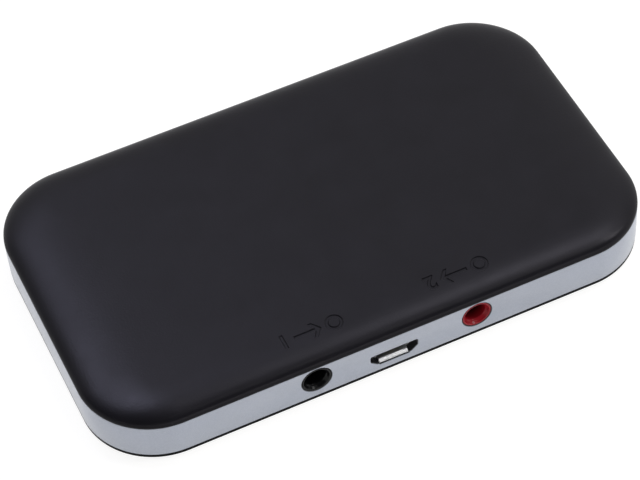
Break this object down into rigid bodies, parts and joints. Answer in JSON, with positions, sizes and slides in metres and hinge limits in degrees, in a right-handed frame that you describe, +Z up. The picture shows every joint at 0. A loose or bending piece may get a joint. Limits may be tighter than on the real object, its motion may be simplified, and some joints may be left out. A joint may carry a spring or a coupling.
{
  "type": "wireless audio receiver",
  "caption": "Slim rounded wireless audio receiver: crowned black cover over a silver side band, audio jacks and a charge socket along one side, push button and slide switch along the other.",
  "frame": {"origin": "on the surface it stands on, under the middle of its outer box", "axes": "+X along the long side, to the right for a viewer who faces the jacks; -Y out of the side with the jacks, +Y out of the side with the controls; +Z up through the crowned cover"},
  "size_m": [0.097, 0.057, 0.0104],
  "materials": {
    "cover_black": "soft satin moulding",
    "band_silver": "satin silver paint on a moulding",
    "base_black": "fine grain",
    "screw_steel": "plated",
    "foot_rubber": "matt",
    "board_green": "solder mask",
    "jack_black": "moulded",
    "jack_red": "moulded",
    "contact_gold": "plated",
    "shell_steel": "bright tin plate",
    "tongue_black": "moulded",
    "cell_foil": "dull foil pouch",
    "tape_foam": "foam tape",
    "tape_yellow": "polyimide tape",
    "lead_red": "wire sleeve",
    "lead_black": "wire sleeve",
    "plug_white": "moulded",
    "board_blue": "solder mask",
    "can_tin": "tin plate",
    "antenna_copper": "printed copper",
    "chip_black": "moulded",
    "solder_tin": "tinned",
    "ferrite_grey": "ferrite",
    "can_aluminium": "drawn can",
    "ceramic_tan": "fired ceramic",
    "button_silver": "satin silver paint on a moulding",
    "knob_black": "moulded",
    "lamp_white": "moulded",
    "pipe_clear": "frosted acrylic"
  },
  "bodies": {
    "case": {"top_cover": "cover_black", "side_band": "band_silver", "base_cover": "base_black", "case_screws": "screw_steel", "foot_port_left": "foot_rubber", "foot_port_right": "foot_rubber", "foot_control_left": "foot_rubber", "foot_control_right": "foot_rubber", "main_board": "board_green", "output_jack_housing": "jack_black", "output_jack_tip_spring": "contact_gold", "output_jack_ring_spring": "contact_gold", "output_jack_sleeve_contact": "shell_steel", "input_jack_housing": "jack_red", "input_jack_tip_spring": "contact_gold", "input_jack_ring_spring": "contact_gold", "input_jack_sleeve_contact": "shell_steel", "usb_shell": "shell_steel", "usb_tongue": "tongue_black", "usb_contacts": "contact_gold", "battery_cell": "cell_foil", "battery_tape": "tape_foam", "battery_guard_board": "tape_yellow", "battery_lead_positive": "lead_red", "battery_lead_negative": "lead_black", "battery_plug": "plug_white", "battery_header": "plug_white", "radio_module_board": "board_blue", "radio_shield_can": "can_tin", "radio_antenna": "antenna_copper", "audio_chip": "chip_black", "audio_chip_legs": "solder_tin", "charger_chip": "chip_black", "charger_chip_legs": "solder_tin", "power_inductor": "ferrite_grey", "clock_crystal": "can_tin", "capacitor_bases": "chip_black", "capacitor_cans": "can_aluminium", "ceramic_chips": "ceramic_tan", "chip_terminals": "solder_tin", "tact_switch_frame": "can_tin", "mode_switch_frame": "can_tin", "status_led": "lamp_white", "light_pipe": "pipe_clear"},
    "button": {"power_button": "button_silver"},
    "plunger": {"tact_switch_plunger": "knob_black"},
    "mode_slider": {"mode_switch_knob": "knob_black", "mode_switch_stub": "knob_black"}
  },
  "joints": [
    {"name": "power_button_press", "type": "slide", "parent": "case", "child": "button", "axis": [0, -1, 0], "range_m": [0, 0.0003], "stiffness_N_per_m": 800, "springref_m": -0.0005},
    {"name": "plunger_press", "type": "slide", "parent": "case", "child": "plunger", "axis": [0, -1, 0], "range_m": [0, 0.0003]},
    {"name": "mode_switch_slide", "type": "slide", "parent": "case", "child": "mode_slider", "axis": [1, 0, 0], "range_m": [0, 0.002]}
  ],
  "couplings": [
    {"joint": "plunger_press", "follows": "power_button_press", "ratio": 1}
  ]
}
